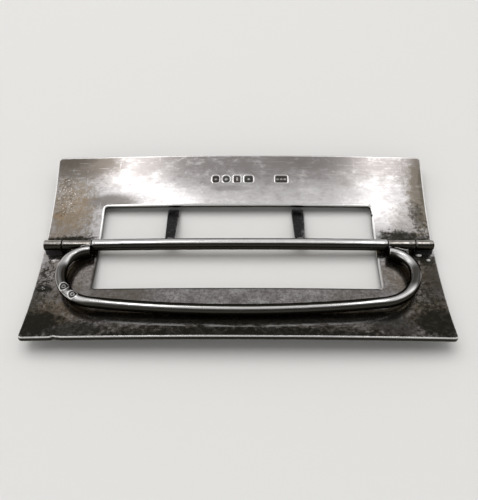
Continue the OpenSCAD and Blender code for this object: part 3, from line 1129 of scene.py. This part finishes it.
def plate_silver(finish):
    """Worn silver sheet: bright edges, brushed lines, dulled ends, dark patches and brown stains."""
    board, shader, place = new_metal("worn_sheet_silver")
    along, depth, _ = board.axes(place)
    lines, scratches = board.effect("brushing", place, Stretch=(0.06, 1.0, 0.6), Fineness=3.2, Share=0.55)
    strokes, cross_scratches = board.effect("brushing", place, Stretch=(1.0, 0.16, 0.5), Fineness=1.7,
                                            Share=0.4)
    ends = abs(along).between(*DULLED_ENDS)
    cloud = board.mask("tarnish_bloom", place, Size=6.5, Cover=ends * 0.3, Crispness=0.2)
    mottle = board.mask("tarnish_bloom", place, Size=1.3, Cover=0.5, Crispness=0.55)
    fine = board.mask("tarnish_bloom", place, Size=0.5, Cover=0.5, Crispness=0.5)
    grain = mottle * 0.6 + fine * 0.4

    # A grey film, laid on unevenly: painted shade over the near half, and a darkening of the far edge
    across = depth + (board.noise(place, 0.16, 4.0) - 0.5) * 9.0
    near = across.between(*NEAR_FILM)
    film = (near * 0.50 + across.between(*FAR_FILM)) * ((lines - 0.5) * 1.3 + 0.95)
    speckled = patches(board, place, SPECKLED_PATCHES, 0.45)
    grainy = speckled * 0.65 + near * 0.25 + 0.07
    handled = board.noise(board.vector("MULTIPLY", place, (0.55, 1.0, 1.0)), 0.42, 6.0, 0.75)
    haze = cloud * 0.25 + grain * grainy + film + handled.between(0.50, 0.66) * 0.5
    lighter = handled.between(0.50, 0.34) * 0.55
    tooth = board.noise(place, 1.2, 3.0, 0.8).between(0.46, 0.58) * (near * 0.42 + 0.05)
    veil = (patches(board, place, FILM_PATCHES, 0.1) * 0.9).at_least(tooth)

    # Tarnish and stains; some dark patches are painted shade
    warm = patches(board, place, DULL_PATCHES, 0.5) * (grain * 0.5 + 0.6)
    stain = patches(board, place, STAIN_PATCHES, 0.6) * (fine * 0.8 + 0.3)
    tarnish_and_shade = (patches(board, place, DARK_PATCHES, 0.5) * (grain * 0.28 + 0.88)).at_most(0.98)
    pits = board.mask("pitting", place, Fineness=1.2, Cover=speckled * 0.75)
    worms = board.mask("worm_marks", place, Fineness=0.62, Width=0.055, Cover=speckled)
    marks = pits.at_least(worms) * speckled
    dark_marks_and_shade = tarnish_and_shade.at_least(marks * 0.85)

    # Burnished metal with its bright edge lines painted in as highlights, the painted reflection of the
    # wire, and painted shade on the walls with tarnish in the punch hollows
    # Painted reflection of the loop's wire in the plate, a thin bright line in front of it
    rub_and_reflection = board.mask("wire_reflection_line", place)
    scratched = scratches.at_least(cross_scratches) * ((1.0 - dark_marks_and_shade) * 0.16)
    specks = board.mask("pitting", board.vector("ADD", place, (7, 3, 1)), Fineness=2.4, Cover=0.45)
    specks = specks * patches(board, place, BRIGHT_PATCHES, 0.4)
    # Burnished edges and punch lips; the edges' bright lines are painted highlights
    edge = board.mask("edge_shine", place, Edge=board.attribute("burnish_and_highlight"), Breakup=0.5)
    bright = (edge * 0.95).at_least(board.attribute("lips") * 0.9)
    # Painted shade on the walls and the opening's near edges, and dark tarnish in the punch marks' hollows
    shade_and_hollows = board.attribute("wall").at_least(board.attribute("sunken") * 0.9)

    colour = board.coats(
        finish.worn, (haze, finish.haze), (lighter, finish.rub_and_reflection), (veil, finish.veil),
        (warm, finish.tarnish), (stain * 0.7, finish.stain), (dark_marks_and_shade, finish.dark_tarnish_and_shade),
        (rub_and_reflection * 0.75, finish.rub_and_reflection), (scratched, finish.silver), (specks * 0.75, finish.silver),
        (bright, finish.silver), (shade_and_hollows, finish.dark_tarnish_and_shade))
    roughness = haze * 0.03 + warm * 0.07 + dark_marks_and_shade * 0.06 + lines * 0.08 + 0.10
    relief = lines * 0.45 + strokes * 0.45 - marks * 1.6
    dress(board, shader, colour, roughness, relief, 0.006 * MM)


def round_silver(name, finish, clean, dulled, share, bright_far, bright_near):
    """Polished silver tube or wire, clean along its top, with painted shade round the rest for the dark
    surroundings it reflects.

    The two bright values say how far to the far and the near side the surface leans where the painted shade
    begins and where it is full. The very underside has golden tarnish.
    """
    board, shader, place = new_metal(name)
    along, across, _ = board.axes(place)
    lines, scratches = board.effect("brushing", place, Stretch=(0.14, 1.0, 1.0), Fineness=4.0, Share=0.5)
    mottle = board.mask("tarnish_bloom", place, Size=2.2, Cover=0.40, Crispness=0.35)
    # Painted shade: surface leaning to the far side, to the near side or down is darkened, less of the far
    # side on the loop's bends
    to_right, to_far, upward = board.axes(board.attribute("facing", "Vector"))
    lean = to_far + (board.noise(place, 0.5, 3.0) - 0.5) * 0.12
    sideways = to_right * 0.35
    bends = abs(along).between(*LOOP_BENDS)
    far = lean + (sideways - bends * 0.26)
    near = lean - sideways
    shaded = far.between(*bright_far).at_least(near.between(*bright_near))
    under = shaded.at_least(upward.between(0.6, 0.4)) * 0.985
    tarnish_and_shade = board.coats(finish.dark_tarnish_and_shade, (upward.between(-0.68, -0.95), finish.golden))

    # Painted reflection: a dark band on the middle of the loop's two bends, for the dark surroundings beside
    # them
    lower = across + along.between(*LEFT_TO_RIGHT, 2.2, 0.0)
    dark_bend_reflection = across.between(*SIDES_START) * lower.between(*SIDES_END) * abs(to_right).between(0.86, 0.66)
    dark_bend_reflection = dark_bend_reflection * along.between(*LEFT_TO_RIGHT, 0.78, 0.92)
    greyed = board.coats(finish.veil, (0.6, finish.dark_tarnish_and_shade))

    colour = board.coats(
        clean, (mottle * share, dulled), (under, tarnish_and_shade), (dark_bend_reflection, greyed),
        (board.attribute("lips"), finish.silver), (board.attribute("sunken") * 0.95, finish.dark_tarnish_and_shade))
    # The painted shade also darkens the grazing reflection on the shaded side
    board.feed(board.coats((1.0, 1.0, 1.0), (under, (0.10, 0.095, 0.085))), shader.inputs["Specular Tint"])
    dress(board, shader, colour, mottle * 0.10 + under * 0.12 + 0.10, lines + scratches * -0.6, 0.003 * MM)


def prong_silver(finish):
    """Greyed silver of the prongs, darkened as painted shade under the plate's far rim, a little brighter
    where the belt has worn their tips bright and along their right edges as a painted highlight.
    """
    board, shader, place = new_metal("greyed_prong_silver")
    lines, scratches = board.effect("brushing", place, Stretch=(1.0, 0.2, 1.0), Fineness=5.0, Share=0.6)
    mottle = board.mask("tarnish_bloom", place, Size=1.8, Cover=0.5, Crispness=0.3)
    rub_and_reflection = board.mask("edge_shine", place, Edge=board.attribute("burnish_and_highlight"), Breakup=0.8)
    colour = board.coats(finish.prong, (mottle * 0.5, finish.dark_tarnish_and_shade), (scratches * 0.25, finish.worn),
                         (rub_and_reflection * 0.8, finish.worn))
    dress(board, shader, colour, mottle * 0.15 + 0.22, lines, 0.008 * MM)


def solder_silver(name, clean, dulled, finish):
    """Rough solder."""
    board, shader, place = new_metal(name)
    mottle = board.mask("tarnish_bloom", place, Size=1.2, Cover=0.5, Crispness=0.4)
    pits = board.mask("pitting", place, Fineness=1.6, Cover=0.4)
    colour = board.coats(clean, (mottle * 0.6, dulled), (pits * 0.6, finish.dark_tarnish_and_shade))
    dress(board, shader, colour, mottle * 0.15 + 0.24, mottle - pits, 0.02 * MM)


# Studio

# Brightness of the dome from the far horizon, 0 degrees, over the top to the near one, 180
DOME_LEVELS = ((0, 0.55), (10, 0.60), (20, 0.44), (30, 0.37), (40, 0.42), (50, 0.58), (58, 0.78),
               (67, 0.98), (73, 0.70), (79, 0.54), (88, 0.64), (97, 0.60), (104, 0.32), (112, 0.12),
               (122, 0.14), (135, 0.42), (150, 0.80), (180, 0.88))

# Soft edges of the two windows, from dark to light: to the side as a part of the direction, and up in
# degrees over the far horizon. The left one slants, so its sides are measured from its middle line
LEFT_WINDOW = ((-0.055, -0.03), (0.10, 0.0))
RIGHT_WINDOW = ((0.205, 0.24), (0.31, 0.27))
WINDOW_FOOT, WINDOW_HEAD = (59, 65), (92, 84)
SLANT_HEIGHTS, SLANT_MIDDLES = (66, 76), (-0.122, -0.238)


def camera_axes(studio):
    """The camera's right, up and forward directions."""
    heading, elevation, roll = studio.heading, studio.elevation, studio.roll
    level_right = Vector((math.cos(heading), math.sin(heading), 0))
    level_ahead = Vector((-math.sin(heading), math.cos(heading), 0))
    upright = Vector((0, 0, 1))
    ahead = level_ahead * math.cos(elevation) - upright * math.sin(elevation)
    over = level_ahead * math.sin(elevation) + upright * math.cos(elevation)
    right = level_right * math.cos(roll) + over * math.sin(roll)
    up = over * math.cos(roll) - level_right * math.sin(roll)
    return right, up, ahead


def place_camera(studio):
    """Camera at the angle of the photograph."""
    data = bpy.data.cameras.new("camera")
    data.sensor_fit = "HORIZONTAL"
    data.lens = studio.lens
    data.clip_start, data.clip_end = 0.01, 10
    camera = bpy.data.objects.new("camera", data)
    right, up, ahead = camera_axes(studio)
    place = -(ahead * studio.distance + right * studio.aim_right + up * studio.aim_up)
    camera.matrix_world = Matrix.Translation(place) @ Matrix(
        (right, up, -ahead)).transposed().to_4x4()
    bpy.context.scene.collection.objects.link(camera)
    bpy.context.scene.camera = camera


def softbox(name, place, size, brightness):
    """Level soft light that shines down on the floor and isn't seen in the metal.

    Its brightness is what a mirror would show of it.
    """
    data = bpy.data.lights.new(name, "AREA")
    data.shape = "RECTANGLE"
    data.size, data.size_y = size
    data.energy = brightness * math.pi * size[0] * size[1]
    lamp = bpy.data.objects.new(name, data)
    lamp.location = place
    lamp.visible_glossy = False
    bpy.context.scene.collection.objects.link(lamp)


def half_turn(degrees):
    """An angle as a share of half a turn."""
    return degrees / 180


def window_light(board, aside, over):
    """Light of a slanting window on the left and of an upright one on the right, with soft edges."""
    low, high = [half_turn(degrees) for degrees in SLANT_HEIGHTS]
    slant = board.value("ShaderNodeMapRange", {
        "Value": over, "From Min": low, "From Max": high, "To Min": SLANT_MIDDLES[0],
        "To Max": SLANT_MIDDLES[1]})
    left = [(aside - slant).between(*edge) for edge in LEFT_WINDOW]
    right = [aside.between(*edge) for edge in RIGHT_WINDOW]
    foot, head = [over.between(*map(half_turn, edge)) for edge in (WINDOW_FOOT, WINDOW_HEAD)]
    strength = over.between(half_turn(71), half_turn(79), 1.5, 3.2)
    return (left[0] * left[1] * 1.15 + right[0] * right[1]) * (foot * head) * strength


def light_dome(studio):
    """Light all round, strongest high on the far side, with two soft windows and a glow at both sides.

    The camera itself sees a plain backdrop.
    """
    world = bpy.data.worlds.new("studio")
    world.use_nodes = True
    bpy.context.scene.world = world
    board = Board(world.node_tree)
    across, ahead, upward = board.axes(board.value("ShaderNodeTexCoord", None, "Generated"))
    over = board.math("ARCTAN2", upward, ahead) / math.pi
    ramp = board.add("ShaderNodeValToRGB", {0: over})
    stops = ramp.color_ramp.elements
    while len(stops) < len(DOME_LEVELS):
        stops.new(0.5)
    for stop, (degrees, level) in zip(stops, DOME_LEVELS):
        stop.position = half_turn(degrees)
        stop.color = (level, level, level, 1)
    sides = across.between(-0.38, -0.52) + across.between(0.40, 0.55) * 0.6
    glow = sides * upward.between(0.25, 0.45) * studio.side_glow
    light = Value(board, ramp.outputs[0]) + glow + window_light(board, across, over)
    seen = board.value("ShaderNodeLightPath", None, "Is Camera Ray")
    background = board.tree.nodes["Background"]
    board.feed(board.coats(light, (seen, studio.backdrop)), background.inputs["Color"])
    background.inputs["Strength"].default_value = studio.dome


def floor_paper(studio):
    """Pale matt paper with a faint tooth."""
    material = bpy.data.materials.new("floor_paper")
    material.use_nodes = True
    board = Board(material.node_tree)
    shader = board.tree.nodes["Principled BSDF"]
    place = board.value("ShaderNodeTexCoord", None, "Object")
    shade = board.noise(place, 900.0, 3.0) * 0.03 + board.noise(place, 9.0, 2.0) * 0.04
    darker = [0.9 * c for c in studio.floor]
    board.feed(board.coats(studio.floor, (shade, darker)), shader.inputs["Base Color"])
    shader.inputs["Roughness"].default_value = 0.75
    shader.inputs["Specular IOR Level"].default_value = 0.2
    return material


# Operators

SIDES = ((-1, "left"), (1, "right"))


class BUCKLE_OT_effects(bpy.types.Operator):
    """Make the shared effects and the metals"""

    bl_idname = "buckle.effects"
    bl_label = "Finishes"

    def execute(self, context):
        for make in EFFECT_MAKERS:
            make()
        finish = sizes("finish")
        plate_silver(finish)
        round_silver("polished_tube_silver", finish, finish.silver, finish.haze, share=0.2,
                     bright_far=(0.30, 0.60), bright_near=(-0.36, -0.50))
        round_silver("dulled_knuckle_silver", finish, finish.dulled, finish.tarnish, share=0.7,
                     bright_far=(0.20, 0.50), bright_near=(-0.36, -0.52))
        round_silver("polished_wire_silver", finish, finish.rub_and_reflection, finish.haze, share=0.2,
                     bright_far=(-0.09, 0.10), bright_near=(-0.28, -0.60))
        prong_silver(finish)
        solder_silver("solder_silver", finish.silver, finish.tarnish, finish)
        # Solder of the knuckle seats, dark as painted shade under the knuckles
        solder_silver("shaded_seat_solder", finish.prong, finish.dark_tarnish_and_shade, finish)
        return {"FINISHED"}


class BUCKLE_OT_plate(bpy.types.Operator):
    """Make the curved plate with its opening and punch marks"""

    bl_idname = "buckle.plate"
    bl_label = "Plate"

    def execute(self, context):
        piece = finish_piece(shape_plate(sizes("plate")), "plate", "worn_sheet_silver", "frame")
        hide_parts("frame_plate")
        return {"FINISHED"}


class BUCKLE_OT_outer_knuckles(bpy.types.Operator):
    """Make the two knuckles soldered to the plate, with their solder"""

    bl_idname = "buckle.outer_knuckles"
    bl_label = "Outer knuckles"

    def execute(self, context):
        plate, bar = sizes("plate"), sizes("bar")
        for side, word in SIDES:
            start, end = knuckle_places(bar, side)[0]
            burr_at, worn_at = (end, None) if side < 0 else (None, end)
            finish_piece(knuckle(bar, start, end, burr_at, worn_at), "outer_knuckle_" + word,
                         "dulled_knuckle_silver", "frame")
            # Its solder is dark as painted shade under the knuckle
            finish_piece(knuckle_seat(plate, bar, start, end), "knuckle_seat_" + word,
                         "shaded_seat_solder", "frame")
        finish_piece(solder_drops(plate, DROPS), "plate_solder", "solder_silver", "frame")
        finish_piece(solder_drops(plate, MOUNDS), "plate_mounds", "worn_sheet_silver", "frame")
        return {"FINISHED"}


class BUCKLE_OT_pin(bpy.types.Operator):
    """Make the pin through the hinge bar"""

    bl_idname = "buckle.pin"
    bl_label = "Pin"

    def execute(self, context):
        piece = finish_piece(pin_shape(sizes("bar")), "pin_rod", "polished_tube_silver", "frame")
        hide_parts("hinge_pin")
        return {"FINISHED"}


class BUCKLE_OT_loop(bpy.types.Operator):
    """Make the belt loop's wire, its two knuckles and their solder"""

    bl_idname = "buckle.loop"
    bl_label = "Belt loop"

    def execute(self, context):
        plate, bar, loop = sizes("plate"), sizes("bar"), sizes("loop")
        wire = finish_piece(wire_shape(plate, bar, loop), "loop_wire", "polished_wire_silver", "loop")
        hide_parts("belt_loop")
        for side, word in SIDES:
            start, end = knuckle_places(bar, side)[1]
            burr_at = INNER_BURR if side > 0 else None
            finish_piece(knuckle(bar, start, end, burr_at), "inner_knuckle_" + word,
                         "dulled_knuckle_silver", "loop")
            finish_piece(loop_solder(plate, bar, loop, side), "loop_solder_" + word, "solder_silver",
                         "loop")
        return {"FINISHED"}


class BUCKLE_OT_prongs(bpy.types.Operator):
    """Make the long tube and its two prongs"""

    bl_idname = "buckle.prongs"
    bl_label = "Prong bar"

    def execute(self, context):
        bar, prong = sizes("bar"), sizes("prong")
        tube = finish_piece(tube_shape(bar), "prong_tube", "polished_tube_silver", "prongs")
        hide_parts("prong_bar")
        for side, word in SIDES:
            x = prong.shift + side * prong.spacing / 2
            finish_piece(prong_shape(bar, prong, x), "prong_" + word, "greyed_prong_silver", "prongs")
            finish_piece(prong_solder(bar, prong, x), "prong_solder_" + word, "solder_silver", "prongs")
        return {"FINISHED"}


class BUCKLE_OT_stage(bpy.types.Operator):
    """Make the camera, the pale floor and the soft studio light"""

    bl_idname = "buckle.stage"
    bl_label = "Studio"

    def execute(self, context):
        studio = sizes("studio")
        place_camera(studio)
        light_dome(studio)
        softbox("floor_fill", place=(-0.1, 0.2, 0.8), size=(0.7, 0.7), brightness=2.2)
        bm = bmesh.new()
        bmesh.ops.create_grid(bm, x_segments=1, y_segments=1, size=1.2)
        mesh = bpy.data.meshes.new("floor")
        bm.to_mesh(mesh)
        bm.free()
        mesh.materials.append(floor_paper(studio))
        floor = bpy.data.objects.new("floor", mesh)
        context.scene.collection.objects.link(floor)
        context.scene.view_settings.view_transform = "Standard"
        return {"FINISHED"}


class BUCKLE_PT_panel(bpy.types.Panel):
    """Buttons and sizes of the buckle"""

    bl_label = "Belt buckle"
    bl_idname = "BUCKLE_PT_panel"
    bl_space_type = "VIEW_3D"
    bl_region_type = "UI"
    bl_category = "Buckle"

    def draw(self, context):
        column = self.layout.column()
        for operator in OPERATORS:
            column.operator(operator.bl_idname)
        for name in GROUPS:
            box = column.box()
            box.label(text=name.capitalize())
            group = sizes(name)
            for key in group.bl_rna.properties.keys():
                if key not in ("rna_type", "name"):
                    box.prop(group, key)


GROUPS = {
    "plate": BucklePlateSizes,
    "bar": BuckleBarSizes,
    "loop": BuckleLoopSizes,
    "prong": BuckleProngSizes,
    "finish": BuckleFinish,
    "studio": BuckleStudio,
}
OPERATORS = (BUCKLE_OT_effects, BUCKLE_OT_plate, BUCKLE_OT_outer_knuckles, BUCKLE_OT_pin,
             BUCKLE_OT_loop, BUCKLE_OT_prongs, BUCKLE_OT_stage)


def register():
    for name, group in GROUPS.items():
        bpy.utils.register_class(group)
        setattr(bpy.types.Scene, "buckle_" + name, bpy.props.PointerProperty(type=group))
    for operator in OPERATORS:
        bpy.utils.register_class(operator)
    bpy.utils.register_class(BUCKLE_PT_panel)


def unregister():
    bpy.utils.unregister_class(BUCKLE_PT_panel)
    for operator in reversed(OPERATORS):
        bpy.utils.unregister_class(operator)
    for name, group in GROUPS.items():
        delattr(bpy.types.Scene, "buckle_" + name)
        bpy.utils.unregister_class(group)


def main():
    register()
    bpy.ops.buckle.effects()
    bpy.ops.buckle.plate()
    bpy.ops.buckle.outer_knuckles()
    bpy.ops.buckle.pin()
    bpy.ops.buckle.loop()
    bpy.ops.buckle.prongs()
    bpy.ops.buckle.stage()


if __name__ == "__main__":
    main()
